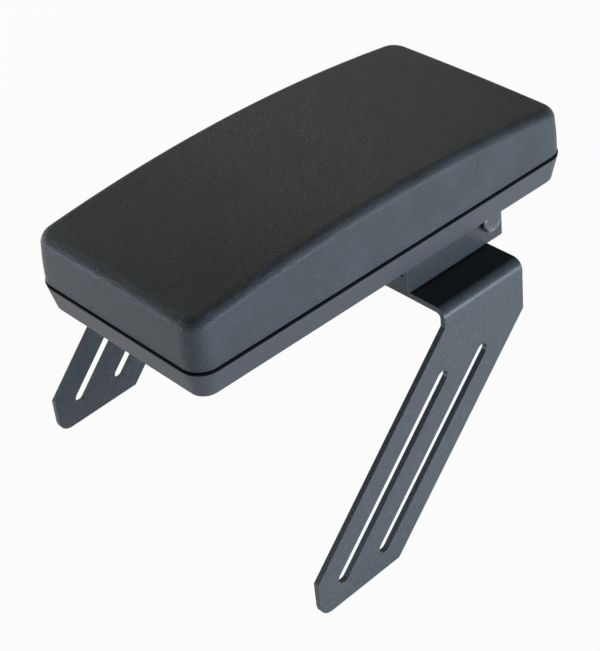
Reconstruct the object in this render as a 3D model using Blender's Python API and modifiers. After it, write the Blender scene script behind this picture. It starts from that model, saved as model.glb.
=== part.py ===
# Flip-up armrest: a padded rest that hinges at its rear end on a folded steel bracket with two slotted legs.
# Metres, +Z up. X is across the two legs, -Y is the free front end of the pad, +Y is the hinge end.
# Origin: midway between the legs, below the middle of the pad's length, at the height of the feet.

import math

import bmesh
import bpy
from mathutils import Matrix, Vector

# Pad, seen from above, measured over its joint bead
PAD_LENGTH = 0.2792
PAD_WIDTH = 0.1372
PAD_CORNER_RADIUS = 0.0132
PAD_OFFSET_X = 0.0495            # pad and hinge sit to the right of the legs' middle

# Clearances
SEAT_GAP = 0.0003                # between pieces that rest on each other
BOLT_CLEARANCE = 0.0003          # radial, round a shank or a bush
BEAD_PROUD = 0.0006              # how far the joint bead stands out from the cushion

# Folded bracket
LEG_SPAN = 0.2532                # over the outer faces of the legs
BRACKET_SHEET = 0.0037
BRACKET_BEND_RADIUS = 0.0030     # inside the fold
BRACKET_HEIGHT = 0.1553          # toes to the top of the plate
PLATE_DEPTH = 0.0645
LEG_WIDTH = 0.0622               # square to the slanting edges
LEG_SLANT = math.radians(43.4)   # from vertical
LEG_REAR_DROP = 0.0337           # upright rear edge below the plate
TOE_HEIGHT = 0.0257              # upright edge at the toe
FOOT_TILT = math.radians(2.4)    # the foot edges rise towards the heel
TOE_RADIUS = 0.0080
SHEET_CORNER_RADIUS = 0.0010
SLOT_WIDTH = 0.0082
SLOT_SPACING = 0.0239            # between slot middles, square to the slots
SLOT_TOP_DROP = 0.0396           # below the plate
SLOT_FOOT_HEIGHT = 0.0147        # above the toes

# Hinge
PIVOT_INSET = 0.0498             # from the pad's rear end, also the rear edge of the plate
PIVOT_HEIGHT = 0.0175            # above the plate
HINGE_WIDTH = 0.1035             # over the outer faces of the fixed walls
HINGE_SHEET = 0.0025
HINGE_BEND_RADIUS = 0.0020       # outside of the folds
EAR_RADIUS = 0.0110              # fixed wall round the pivot
FRONT_LIP_HEIGHT = 0.0122
FRONT_LIP_OVERHANG = 0.0036      # ahead of the plate's front edge
WALL_SLOPE_LENGTH = 0.0080       # top of the fixed walls slopes down towards the lip
WALL_SLOPE_DROP = 0.0023
LEAF_EAR_RADIUS = 0.0100
LEAF_FRONT_DEPTH = 0.0080        # leaf flange at its front end
LEAF_FRONT_INSET = 0.0060        # leaf's front edge behind the plate's front edge
LEAF_REAR_REACH = 0.0180         # leaf behind the pivot
LEAF_SCREW_SPACING_X = 0.0500
LEAF_SCREW_SPACING_Y = 0.0280
BASE_SCREW_SPACING_X = 0.0660
BASE_SCREW_SPACING_Y = 0.0340
BUFFER_RADIUS = 0.0060
BUFFER_SPACING_X = 0.0220

# Pivot hardware
PIVOT_BOLT_RADIUS = 0.0040
PIVOT_HEAD_RADIUS = 0.0074
PIVOT_HEAD_THICKNESS = 0.0024
PIVOT_WASHER_RADIUS = 0.0064     # under the bolt head
PIVOT_COLLAR_RADIUS = 0.0078     # bush collar and inner washer
WASHER_THICKNESS = 0.0012
BUSH_WALL = 0.0012
BUSH_FLANGE = 0.0010
SPRING_WASHER_THICKNESS = 0.0014
PIVOT_NUT_THICKNESS = 0.0070
PIVOT_NUT_RADIUS = 0.0072        # over the corners
BOLT_END = 0.0015                # thread beyond a nut

# Screws that join hinge base to plate, and leaf to board
SCREW_RADIUS = 0.0030
SCREW_HEAD_RADIUS = 0.0052
SCREW_HEAD_HEIGHT = 0.0032
SCREW_SOCKET_RADIUS = 0.0020
SCREW_SOCKET_DEPTH = 0.0018
SCREW_NUT_RADIUS = 0.0057
SCREW_NUT_THICKNESS = 0.0050
TEE_NUT_RADIUS = 0.0090
TEE_NUT_FLANGE = 0.0012
TEE_NUT_WALL = 0.0010

# Tray, board, bead and cushion, from below upwards
TRAY_HEIGHT = 0.0163
TRAY_INSET = 0.0001              # top edge behind the bead
TRAY_DRAFT = 0.0039              # the floor is this much smaller on every side
TRAY_WALL = 0.0025
TRAY_EDGE_RADIUS = 0.0008
TRAY_BOSS_WALL = 0.0022
TRAY_SCREW_INSET_X = 0.0170      # from the side of the pad
TRAY_SCREW_INSET_Y = 0.0280      # from the end of the pad
TRAY_SCREW_RADIUS = 0.0020
TRAY_SCREW_HEAD_RADIUS = 0.0038
TRAY_SCREW_HEAD_HEIGHT = 0.0024
TRAY_RIB_WIDTH = 0.0020
BOARD_THICKNESS = 0.0050
BOARD_CLEARANCE = 0.0010
BEAD_THICKNESS = 0.0012
BEAD_WIDTH = 0.0060
CUSHION_END_HEIGHT = 0.0279
CUSHION_CROWN = 0.0102           # rise of the highest line over the ends
CUSHION_CROWN_SHIFT = 0.0063     # highest line in front of the pad's middle
CUSHION_DOME = 0.0009            # rise of the middle over the sides
CUSHION_DRAFT = 0.0012
CUSHION_EDGE_RADIUS = 0.0065

ROUND_STEPS = 20
SMALL_STEPS = 16

# Heights and places that follow
plate_top = BRACKET_HEIGHT
pivot_y = PAD_LENGTH / 2 - PIVOT_INSET
plate_rear = pivot_y
plate_front = plate_rear - PLATE_DEPTH
plate_middle = (plate_rear + plate_front) / 2
hinge_front = plate_front - FRONT_LIP_OVERHANG
pivot_z = plate_top + PIVOT_HEIGHT
tray_bottom = pivot_z + EAR_RADIUS + 2 * SEAT_GAP
leaf_top = tray_bottom - SEAT_GAP
leaf_underside = leaf_top - HINGE_SHEET
wall_top = tray_bottom - SEAT_GAP
base_bottom = plate_top + SEAT_GAP
base_floor = base_bottom + HINGE_SHEET
tray_top = tray_bottom + TRAY_HEIGHT
bead_bottom = tray_top + SEAT_GAP
bead_top = bead_bottom + BEAD_THICKNESS
cushion_bottom = bead_top + SEAT_GAP
board_top = bead_bottom
board_bottom = board_top - BOARD_THICKNESS
boss_top = board_bottom - SEAT_GAP
wall_outer = HINGE_WIDTH / 2
wall_inner = wall_outer - HINGE_SHEET
leaf_outer = wall_inner - BUSH_FLANGE - 2 * SEAT_GAP
leaf_inner = leaf_outer - HINGE_SHEET
bush_bore = PIVOT_BOLT_RADIUS + BOLT_CLEARANCE
bush_outer = bush_bore + BUSH_WALL
screw_hole = SCREW_RADIUS + BOLT_CLEARANCE

SIDE_ON = (math.pi / 2, 0.0, math.pi / 2)    # local x, y, z become world y, z, x

COLOURS = {
    "powder_coat": ((0.050, 0.053, 0.058), 0.42, 0.0),
    "zinc": ((0.55, 0.56, 0.58), 0.35, 1.0),
    "black_steel": ((0.060, 0.062, 0.066), 0.35, 0.6),
    "nylon": ((0.70, 0.69, 0.64), 0.5, 0.0),
    "rubber": ((0.020, 0.020, 0.021), 0.8, 0.0),
    "tray_plastic": ((0.155, 0.160, 0.180), 0.48, 0.0),
    "board": ((0.42, 0.30, 0.18), 0.7, 0.0),
    "cushion_skin": ((0.035, 0.037, 0.036), 0.55, 0.0),
}


def empty_scene():
    for item in list(bpy.data.objects):
        bpy.data.objects.remove(item, do_unlink=True)


def new_collection(name):
    collection = bpy.data.collections.new(name)
    bpy.context.scene.collection.children.link(collection)
    return collection


def give_material(item, kind):
    colour, roughness, metallic = COLOURS[kind]
    material = bpy.data.materials.new(item.name + "_" + kind)
    material.use_nodes = True
    shader = material.node_tree.nodes["Principled BSDF"]
    shader.inputs["Base Color"].default_value = (*colour, 1.0)
    shader.inputs["Roughness"].default_value = roughness
    shader.inputs["Metallic"].default_value = metallic
    item.data.materials.clear()
    item.data.materials.append(material)


def object_from(name, mesh, collection, place=(0, 0, 0), turn=(0, 0, 0)):
    item = bpy.data.objects.new(name, mesh)
    collection.objects.link(item)
    item.location = place
    item.rotation_euler = turn
    return item


def carry(item, parent):
    """Parent an object and keep it where it is."""
    bpy.context.view_layer.update()
    item.parent = parent
    item.matrix_parent_inverse = parent.matrix_world.inverted()
    return item


def smooth(item, angle=35):
    item.data.shade_smooth()
    item.data.set_sharp_from_angle(angle=math.radians(angle))
    return item


def rounded_outline(corners, steps):
    """A closed outline whose corners, each (u, v, radius), become arcs with so many steps per right angle."""
    outline = []
    count = len(corners)
    for i in range(count):
        here = Vector(corners[i][:2])
        back = (Vector(corners[i - 1][:2]) - here).normalized()
        ahead = (Vector(corners[(i + 1) % count][:2]) - here).normalized()
        radius = corners[i][2]
        half = back.angle(ahead) / 2
        if radius <= 0:
            outline.append(here)
            continue
        reach = radius / math.tan(half)
        centre = here + (back + ahead).normalized() * (radius / math.sin(half))
        start = here + back * reach - centre
        turning = math.pi - 2 * half
        count_here = max(2, round(steps * turning / (math.pi / 2)))
        side = 1 if back.cross(ahead) < 0 else -1
        for k in range(count_here + 1):
            outline.append(centre + Matrix.Rotation(side * turning * k / count_here, 2) @ start)
    return outline


def prism(name, outline, thickness, collection, place=(0, 0, 0), turn=(0, 0, 0)):
    """A flat outline extruded half its thickness each way, as a closed mesh."""
    curve = bpy.data.curves.new(name, "CURVE")
    curve.dimensions = "2D"
    curve.fill_mode = "BOTH"
    curve.extrude = thickness / 2
    spline = curve.splines.new("POLY")
    spline.points.add(len(outline) - 1)
    for point, place_2d in zip(spline.points, outline):
        point.co = (place_2d[0], place_2d[1], 0, 1)
    spline.use_cyclic_u = True
    guide = object_from(name + "_curve", curve, collection, place, turn)
    bpy.context.view_layer.update()
    evaluated = guide.evaluated_get(bpy.context.evaluated_depsgraph_get())
    mesh = bpy.data.meshes.new_from_object(evaluated)
    matrix = guide.matrix_world.copy()
    bpy.data.objects.remove(guide, do_unlink=True)
    weld(mesh)
    item = bpy.data.objects.new(name, mesh)
    collection.objects.link(item)
    item.matrix_world = matrix
    return item


def weld(mesh):
    work = bmesh.new()
    work.from_mesh(mesh)
    bmesh.ops.remove_doubles(work, verts=work.verts, dist=0.000001)
    bmesh.ops.recalc_face_normals(work, faces=work.faces)
    work.to_mesh(mesh)
    work.free()


def turned(name, profile, collection, place=(0, 0, 0), turn=(0, 0, 0), steps=ROUND_STEPS, ring=False):
    """A profile of (radius, height) points, top to bottom down its outer side, turned about Z."""
    mesh = bpy.data.meshes.new(name)
    work = bmesh.new()
    corners = [work.verts.new((radius, 0, height)) for radius, height in profile]
    for first, second in zip(corners, corners[1:]):
        work.edges.new((first, second))
    if ring:
        work.edges.new((corners[-1], corners[0]))
    work.to_mesh(mesh)
    work.free()
    item = object_from(name, mesh, collection, place, turn)
    screw = item.modifiers.new("Turn", "SCREW")
    screw.axis = "Z"
    screw.steps = steps
    screw.render_steps = steps
    screw.use_merge_vertices = True
    screw.merge_threshold = 0.00001
    screw.use_smooth_shade = False
    return item


def block(name, low, high, collection):
    """A plain box between two corners."""
    mesh = bpy.data.meshes.new(name)
    work = bmesh.new()
    bmesh.ops.create_cube(work, size=1.0)
    size = Vector(high) - Vector(low)
    middle = (Vector(high) + Vector(low)) / 2
    bmesh.ops.scale(work, vec=size, verts=work.verts)
    bmesh.ops.translate(work, vec=middle, verts=work.verts)
    work.to_mesh(mesh)
    work.free()
    return object_from(name, mesh, collection)


def round_edges(item, radius, chosen, steps):
    """Bevel the mesh edges for which chosen(edge) is true."""
    work = bmesh.new()
    work.from_mesh(item.data)
    edges = [edge for edge in work.edges if chosen(edge)]
    bmesh.ops.bevel(work, geom=edges, offset=radius, segments=steps, profile=0.5,
                    affect="EDGES", clamp_overlap=True)
    work.to_mesh(item.data)
    work.free()


def upright(edge):
    first, second = (vert.co for vert in edge.verts)
    return abs(first.z - second.z) > math.hypot(first.x - second.x, first.y - second.y)


def cut(item, cutter, operation="DIFFERENCE"):
    modifier = item.modifiers.new(operation.title() + "_" + cutter.name, "BOOLEAN")
    modifier.operation = operation
    modifier.solver = "EXACT"
    modifier.object = cutter
    cutter.hide_render = True
    cutter.display_type = "WIRE"
    return item


def rod_cutter(name, radius, start, end, cutters, steps=ROUND_STEPS):
    """A round cutter between two points of one axis-aligned line."""
    start = Vector(start)
    end = Vector(end)
    mesh = bpy.data.meshes.new(name)
    work = bmesh.new()
    bmesh.ops.create_cone(work, cap_ends=True, segments=steps, radius1=radius, radius2=radius,
                          depth=(end - start).length)
    work.to_mesh(mesh)
    work.free()
    item = object_from(name, mesh, cutters, (start + end) / 2)
    item.rotation_mode = "QUATERNION"
    item.rotation_quaternion = (end - start).to_track_quat("Z", "Y")
    return item


def four_places(spacing_x, spacing_y, middle_x, middle_y):
    for number, (side, end) in enumerate(((-1, -1), (1, -1), (-1, 1), (1, 1)), 1):
        yield number, middle_x + side * spacing_x / 2, middle_y + end * spacing_y / 2


def rear_line(height):
    """Y of the legs' slanting rear edge at a height above the feet."""
    knee = plate_top - LEG_REAR_DROP
    return plate_rear - (knee - height) * math.tan(LEG_SLANT)


def leg_outline():
    reach = LEG_WIDTH / math.cos(LEG_SLANT)
    knee = plate_top - LEG_REAR_DROP
    toe_y = rear_line(TOE_HEIGHT) - reach
    front_knee = knee + (plate_front - (plate_rear - reach)) / math.tan(LEG_SLANT)
    # the toe's corner is so far below zero that its arc touches zero
    toe_corner = -TOE_RADIUS * (math.tan(FOOT_TILT) + 1 / math.cos(FOOT_TILT) - 1)
    foot_length = (rear_line(toe_corner) - toe_y) / (1 - math.tan(FOOT_TILT) * math.tan(LEG_SLANT))
    heel_height = toe_corner + foot_length * math.tan(FOOT_TILT)
    return rounded_outline([
        (plate_rear, plate_top + BRACKET_SHEET, 0),
        (plate_front, plate_top + BRACKET_SHEET, 0),
        (plate_front, front_knee, SHEET_CORNER_RADIUS),
        (toe_y, TOE_HEIGHT, SHEET_CORNER_RADIUS),
        (toe_y, toe_corner, TOE_RADIUS),
        (toe_y + foot_length, heel_height, SHEET_CORNER_RADIUS),
        (plate_rear, knee, SHEET_CORNER_RADIUS),
    ], 4)


def slot_outline(side):
    """A round-ended slot along the leg's slant, on one side of the leg's middle line."""
    low = SLOT_FOOT_HEIGHT + SLOT_WIDTH / 2
    high = plate_top - SLOT_TOP_DROP - SLOT_WIDTH / 2
    shift = side * SLOT_SPACING / 2 / math.cos(LEG_SLANT) - LEG_WIDTH / math.cos(LEG_SLANT) / 2
    across = Vector((math.cos(LEG_SLANT), -math.sin(LEG_SLANT))) * (SLOT_WIDTH / 2)
    outline = []
    for height, start in ((low, math.pi), (high, 0.0)):
        centre = Vector((rear_line(height) + shift, height))
        for k in range(9):
            outline.append(centre + Matrix.Rotation(start + math.pi * k / 8, 2) @ across)
    return outline


def leg_bracket(parts, cutters):
    """One sheet, folded down at both sides, trimmed to the legs' outline and slotted."""
    half = LEG_SPAN / 2
    outer = BRACKET_BEND_RADIUS + BRACKET_SHEET
    section = [Vector((half, -BRACKET_SHEET))]
    for k in range(9):
        angle = math.pi / 2 * k / 8
        section.append(Vector((half - outer + outer * math.cos(angle),
                               plate_top - outer + outer * math.sin(angle))))
    section += [Vector((-point.x, point.y)) for point in reversed(section)]
    mesh = bpy.data.meshes.new("leg_bracket")
    work = bmesh.new()
    front = rear_line(0) - LEG_WIDTH / math.cos(LEG_SLANT) - BRACKET_HEIGHT
    rear = plate_rear + BRACKET_HEIGHT
    rows = [[work.verts.new((point.x, y, point.y)) for point in section] for y in (front, rear)]
    for i in range(len(section) - 1):
        work.faces.new((rows[0][i], rows[0][i + 1], rows[1][i + 1], rows[1][i]))
    bmesh.ops.recalc_face_normals(work, faces=work.faces)
    if sum(face.normal.z for face in work.faces) < 0:
        bmesh.ops.reverse_faces(work, faces=work.faces)
    work.to_mesh(mesh)
    work.free()
    item = object_from("leg_bracket", mesh, parts)
    solid = item.modifiers.new("Sheet", "SOLIDIFY")
    solid.thickness = BRACKET_SHEET
    solid.offset = -1
    solid.use_even_offset = True
    outline = prism("bracket_outline", leg_outline(), LEG_SPAN * 1.2, cutters, turn=SIDE_ON)
    cut(item, outline, "INTERSECT")
    for name, side in (("front", -1), ("rear", 1)):
        cut(item, prism("slot_" + name, slot_outline(side), LEG_SPAN * 1.2, cutters, turn=SIDE_ON))
    for number, x, y in four_places(BASE_SCREW_SPACING_X, BASE_SCREW_SPACING_Y, PAD_OFFSET_X, plate_middle):
        cut(item, rod_cutter("plate_hole_%d" % number, screw_hole, (x, y, plate_top - 2 * BRACKET_SHEET),
                             (x, y, plate_top + BRACKET_SHEET), cutters, SMALL_STEPS))
    give_material(item, "powder_coat")
    return smooth(item, 30)


def hinge_base(parts, cutters):
    """A pan folded from sheet: floor, low front lip and two side walls with round ears."""
    x = PAD_OFFSET_X
    rear = pivot_y + EAR_RADIUS
    item = block("hinge_base", (x - wall_outer, hinge_front, base_bottom),
                 (x + wall_outer, rear + HINGE_SHEET, wall_top), parts)

    def folded(edge):
        first, second = (vert.co for vert in edge.verts)
        low = max(first.z, second.z) < base_bottom + 0.0001
        at_front = max(first.y, second.y) < hinge_front + 0.0001
        along = abs(first.x - second.x) < 0.0001
        return (low and along) or at_front and (low or along)

    round_edges(item, HINGE_BEND_RADIUS, folded, 3)
    cut(item, block("pan_hollow", (x - wall_inner, hinge_front + HINGE_SHEET, base_floor),
                    (x + wall_inner, rear + 2 * HINGE_SHEET, wall_top + HINGE_SHEET), cutters))
    cut(item, block("lip_trim", (x - wall_inner, hinge_front - HINGE_SHEET, base_bottom + FRONT_LIP_HEIGHT),
                    (x + wall_inner, hinge_front + 2 * HINGE_SHEET, wall_top + HINGE_SHEET), cutters))
    before = hinge_front - HINGE_SHEET
    ear = [(before, base_bottom - HINGE_SHEET), (rear, base_bottom - HINGE_SHEET)]
    for k in range(9):
        angle = math.pi / 2 * k / 8
        ear.append((pivot_y + EAR_RADIUS * math.cos(angle), pivot_z + EAR_RADIUS * math.sin(angle)))
    ear.append((hinge_front + WALL_SLOPE_LENGTH, pivot_z + EAR_RADIUS))
    ear.append((before, pivot_z + EAR_RADIUS - WALL_SLOPE_DROP))
    cut(item, prism("ear_outline", ear, HINGE_WIDTH * 1.2, cutters, (x, 0, 0), SIDE_ON), "INTERSECT")
    cut(item, block("floor_trim", (x - wall_inner, plate_rear, base_bottom - HINGE_SHEET),
                    (x + wall_inner, rear + HINGE_SHEET, base_floor + HINGE_SHEET), cutters))
    reach = wall_outer * 1.2
    cut(item, rod_cutter("base_pivot_hole", PIVOT_BOLT_RADIUS + BOLT_CLEARANCE,
                         (x - reach, pivot_y, pivot_z), (x + reach, pivot_y, pivot_z), cutters))
    for number, hole_x, y in four_places(BASE_SCREW_SPACING_X, BASE_SCREW_SPACING_Y, x, plate_middle):
        cut(item, rod_cutter("base_hole_%d" % number, screw_hole, (hole_x, y, base_bottom - HINGE_SHEET),
                             (hole_x, y, base_floor + HINGE_SHEET), cutters, SMALL_STEPS))
    give_material(item, "powder_coat")
    return smooth(item, 30)


def hinge_leaf(parts, cutters):
    """An upturned channel screwed under the tray, with flanges that hang on the pivot bolts."""
    x = PAD_OFFSET_X
    front = plate_front + LEAF_FRONT_INSET
    rear = pivot_y + LEAF_REAR_REACH
    item = block("hinge_leaf", (x - leaf_outer, front, pivot_z - LEAF_EAR_RADIUS - HINGE_SHEET),
                 (x + leaf_outer, rear, leaf_top), parts)

    def folded(edge):
        first, second = (vert.co for vert in edge.verts)
        return min(first.z, second.z) > leaf_top - 0.0001 and abs(first.x - second.x) < 0.0001

    round_edges(item, HINGE_BEND_RADIUS, folded, 3)
    cut(item, block("leaf_hollow", (x - leaf_inner, front - HINGE_SHEET, pivot_z - 3 * LEAF_EAR_RADIUS),
                    (x + leaf_inner, rear + HINGE_SHEET, leaf_underside), cutters))
    flange = [(rear + HINGE_SHEET, leaf_top + HINGE_SHEET), (front - HINGE_SHEET, leaf_top + HINGE_SHEET),
              (front - HINGE_SHEET, leaf_top - LEAF_FRONT_DEPTH), (front, leaf_top - LEAF_FRONT_DEPTH)]
    for k in range(13):
        angle = math.radians(-115 + 115 * k / 12)
        flange.append((pivot_y + LEAF_EAR_RADIUS * math.cos(angle),
                       pivot_z + LEAF_EAR_RADIUS * math.sin(angle)))
    flange += [(pivot_y + LEAF_EAR_RADIUS, leaf_underside), (rear + HINGE_SHEET, leaf_underside)]
    cut(item, prism("flange_outline", flange, HINGE_WIDTH * 1.2, cutters, (x, 0, 0), SIDE_ON), "INTERSECT")
    cut(item, rod_cutter("leaf_pivot_hole", bush_outer + BOLT_CLEARANCE,
                         (x - wall_outer, pivot_y, pivot_z), (x + wall_outer, pivot_y, pivot_z), cutters))
    for number, hole_x, y in four_places(LEAF_SCREW_SPACING_X, LEAF_SCREW_SPACING_Y, x, plate_middle):
        cut(item, rod_cutter("leaf_hole_%d" % number, screw_hole, (hole_x, y, leaf_underside - HINGE_SHEET),
                             (hole_x, y, leaf_top + HINGE_SHEET), cutters, SMALL_STEPS))
    give_material(item, "powder_coat")
    return smooth(item, 30)


def nut(name, radius, thickness, bore, parts, cutters, place, turn):
    """A six-sided nut with a plain bore, its bearing face at its own zero and its body above."""
    mesh = bpy.data.meshes.new(name)
    work = bmesh.new()
    bmesh.ops.create_cone(work, cap_ends=True, segments=6, radius1=radius, radius2=radius, depth=thickness)
    bmesh.ops.translate(work, vec=(0, 0, thickness / 2), verts=work.verts)
    work.to_mesh(mesh)
    work.free()
    item = object_from(name, mesh, parts, place, turn)
    above = thickness * 2
    hole = turned(name + "_bore", [(0, above), (bore, above), (bore, -thickness), (0, -thickness)],
                  cutters, place, turn, SMALL_STEPS)
    cut(item, hole)
    give_material(item, "zinc")
    return item


def ring(name, inner, outer, low, high, parts, place, turn, steps=ROUND_STEPS):
    profile = [(outer, high), (outer, low), (inner, low), (inner, high)]
    return turned(name, profile, parts, place, turn, steps, True)


def pivot_hardware(side, side_name, parts, cutters):
    """Bolt, washers, bush and nut on one side. Local +Z points out of the hinge along the pivot."""
    place = (PAD_OFFSET_X, pivot_y, pivot_z)
    turn = (0, side * math.pi / 2, 0)
    washer_low = wall_outer + SEAT_GAP
    washer_high = washer_low + WASHER_THICKNESS
    head_low = washer_high + SEAT_GAP
    head_high = head_low + PIVOT_HEAD_THICKNESS
    inner_high = leaf_inner - SEAT_GAP
    inner_low = inner_high - WASHER_THICKNESS
    spring_high = inner_low - SEAT_GAP
    spring_low = spring_high - SPRING_WASHER_THICKNESS
    nut_high = spring_low - SEAT_GAP
    nut_low = nut_high - PIVOT_NUT_THICKNESS
    bolt_low = nut_low - BOLT_END
    ease = PIVOT_HEAD_THICKNESS / 4
    bolt = turned("pivot_bolt_" + side_name, [
        (0, head_high),
        (PIVOT_HEAD_RADIUS - 2 * ease, head_high),
        (PIVOT_HEAD_RADIUS, head_high - ease),
        (PIVOT_HEAD_RADIUS, head_low),
        (PIVOT_BOLT_RADIUS, head_low),
        (PIVOT_BOLT_RADIUS, bolt_low + ease),
        (PIVOT_BOLT_RADIUS - ease, bolt_low),
        (0, bolt_low)], parts, place, turn, 28)
    give_material(bolt, "black_steel")
    washer = ring("pivot_washer_outer_" + side_name, bush_bore, PIVOT_WASHER_RADIUS, washer_low, washer_high,
                  parts, place, turn)
    give_material(washer, "black_steel")
    inner = ring("pivot_washer_inner_" + side_name, bush_bore, PIVOT_COLLAR_RADIUS, inner_low, inner_high,
                 parts, place, turn)
    give_material(inner, "zinc")
    spring_washer = turned("pivot_spring_washer_" + side_name, [
        (PIVOT_NUT_RADIUS, spring_high),
        (PIVOT_NUT_RADIUS, (spring_high + spring_low) / 2),
        (bush_bore, spring_low),
        (bush_bore, (spring_high + spring_low) / 2)], parts, place, turn, ROUND_STEPS, True)
    give_material(spring_washer, "zinc")
    collar = wall_inner - SEAT_GAP
    bush = turned("pivot_bush_" + side_name, [
        (PIVOT_COLLAR_RADIUS, collar),
        (PIVOT_COLLAR_RADIUS, collar - BUSH_FLANGE),
        (bush_outer, collar - BUSH_FLANGE),
        (bush_outer, leaf_inner),
        (bush_bore, leaf_inner),
        (bush_bore, collar)], parts, place, turn, ROUND_STEPS, True)
    give_material(bush, "nylon")
    lock_nut = nut("pivot_nut_" + side_name, PIVOT_NUT_RADIUS, PIVOT_NUT_THICKNESS, bush_bore, parts, cutters,
                   Vector(place) + Vector((side * nut_low, 0, 0)), turn)
    for item in (bolt, washer, inner, spring_washer, bush, lock_nut):
        smooth(item, 40)
    return [bolt, washer, inner, spring_washer, lock_nut], bush


def cap_screw(name, length, parts, place, turn, kind):
    """A round-headed screw with a recess. Its head's bearing face is at its own zero, and it points down."""
    ease = SCREW_HEAD_HEIGHT / 3
    item = turned(name, [
        (0, SCREW_HEAD_HEIGHT - SCREW_SOCKET_DEPTH),
        (SCREW_SOCKET_RADIUS, SCREW_HEAD_HEIGHT - SCREW_SOCKET_DEPTH),
        (SCREW_SOCKET_RADIUS, SCREW_HEAD_HEIGHT),
        (SCREW_HEAD_RADIUS - 2 * ease, SCREW_HEAD_HEIGHT),
        (SCREW_HEAD_RADIUS, ease),
        (SCREW_HEAD_RADIUS, 0),
        (SCREW_RADIUS, 0),
        (SCREW_RADIUS, -length),
        (0, -length)], parts, place, turn, SMALL_STEPS)
    give_material(item, kind)
    return smooth(item, 40)


def base_fasteners(parts, cutters):
    """Four screws down through the hinge base and the plate, each with a nut underneath."""
    grip = HINGE_SHEET + BRACKET_SHEET + 3 * SEAT_GAP
    pieces = []
    for number, x, y in four_places(BASE_SCREW_SPACING_X, BASE_SCREW_SPACING_Y, PAD_OFFSET_X, plate_middle):
        pieces.append(cap_screw("base_screw_%d" % number, grip + SCREW_NUT_THICKNESS + BOLT_END, parts,
                                (x, y, base_floor + SEAT_GAP), (0, 0, 0), "black_steel"))
        base_nut = nut("base_nut_%d" % number, SCREW_NUT_RADIUS, SCREW_NUT_THICKNESS, screw_hole, parts,
                       cutters, (x, y, plate_top - BRACKET_SHEET - SEAT_GAP), (math.pi, 0, 0))
        pieces.append(smooth(base_nut, 40))
    return pieces


def leaf_fasteners(parts):
    """Four screws up through the leaf and the tray, each into a tee nut let into the top of the board."""
    pieces = []
    flange_low = board_top - SEAT_GAP - TEE_NUT_FLANGE
    length = flange_low - (leaf_underside - SEAT_GAP)
    barrel = screw_hole + TEE_NUT_WALL
    for number, x, y in four_places(LEAF_SCREW_SPACING_X, LEAF_SCREW_SPACING_Y, PAD_OFFSET_X, plate_middle):
        pieces.append(cap_screw("leaf_screw_%d" % number, length, parts, (x, y, leaf_underside - SEAT_GAP),
                                (math.pi, 0, 0), "black_steel"))
        tee_nut = turned("tee_nut_%d" % number, [
            (TEE_NUT_RADIUS, flange_low + TEE_NUT_FLANGE),
            (TEE_NUT_RADIUS, flange_low),
            (barrel, flange_low),
            (barrel, board_bottom + SEAT_GAP),
            (screw_hole, board_bottom + SEAT_GAP),
            (screw_hole, flange_low + TEE_NUT_FLANGE)], parts, (x, y, 0), (0, 0, 0), SMALL_STEPS, True)
        give_material(tee_nut, "zinc")
        pieces.append(smooth(tee_nut, 40))
    return pieces


def stop_buffers(parts):
    """Two tapered rubber buffers on the pan's floor that the leaf comes down on."""
    pieces = []
    low = base_floor + SEAT_GAP
    high = leaf_underside - SEAT_GAP
    y = plate_front + HINGE_SHEET + LEAF_FRONT_INSET + BUFFER_RADIUS
    for side, side_name in ((-1, "left"), (1, "right")):
        item = turned("stop_buffer_" + side_name, [
            (0, high),
            (BUFFER_RADIUS * 0.7, high),
            (BUFFER_RADIUS * 0.8, high - BUFFER_RADIUS * 0.15),
            (BUFFER_RADIUS, low),
            (0, low)], parts, (PAD_OFFSET_X + side * BUFFER_SPACING_X / 2, y, 0), (0, 0, 0), SMALL_STEPS)
        give_material(item, "rubber")
        pieces.append(smooth(item, 40))
    return pieces


def tray_block(name, low, high, shrink, draft, collection):
    """A solid with round corners, set in by shrink at its top and by the draft more at its underside."""
    mesh = bpy.data.meshes.new(name)
    work = bmesh.new()
    rings = []
    for height, inset in ((low, shrink + draft), (high, shrink)):
        outline = pad_outline(TRAY_INSET + inset)
        rings.append([work.verts.new((PAD_OFFSET_X + point.x, point.y, height)) for point in outline])
    count = len(rings[0])
    for i in range(count):
        k = (i + 1) % count
        work.faces.new((rings[0][i], rings[0][k], rings[1][k], rings[1][i]))
    for ring_here in rings:
        work.faces.new(ring_here)
    bmesh.ops.recalc_face_normals(work, faces=work.faces)
    work.to_mesh(mesh)
    work.free()
    return object_from(name, mesh, collection)


def tray_screw_places():
    """Six screws: one in each corner and one halfway along each side."""
    x = PAD_WIDTH / 2 - TRAY_SCREW_INSET_X
    y = PAD_LENGTH / 2 - TRAY_SCREW_INSET_Y
    places = [(side, end) for end in (-1, 0, 1) for side in (-1, 1)]
    for number, (side, end) in enumerate(places, 1):
        yield number, PAD_OFFSET_X + side * x, end * y


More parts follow.
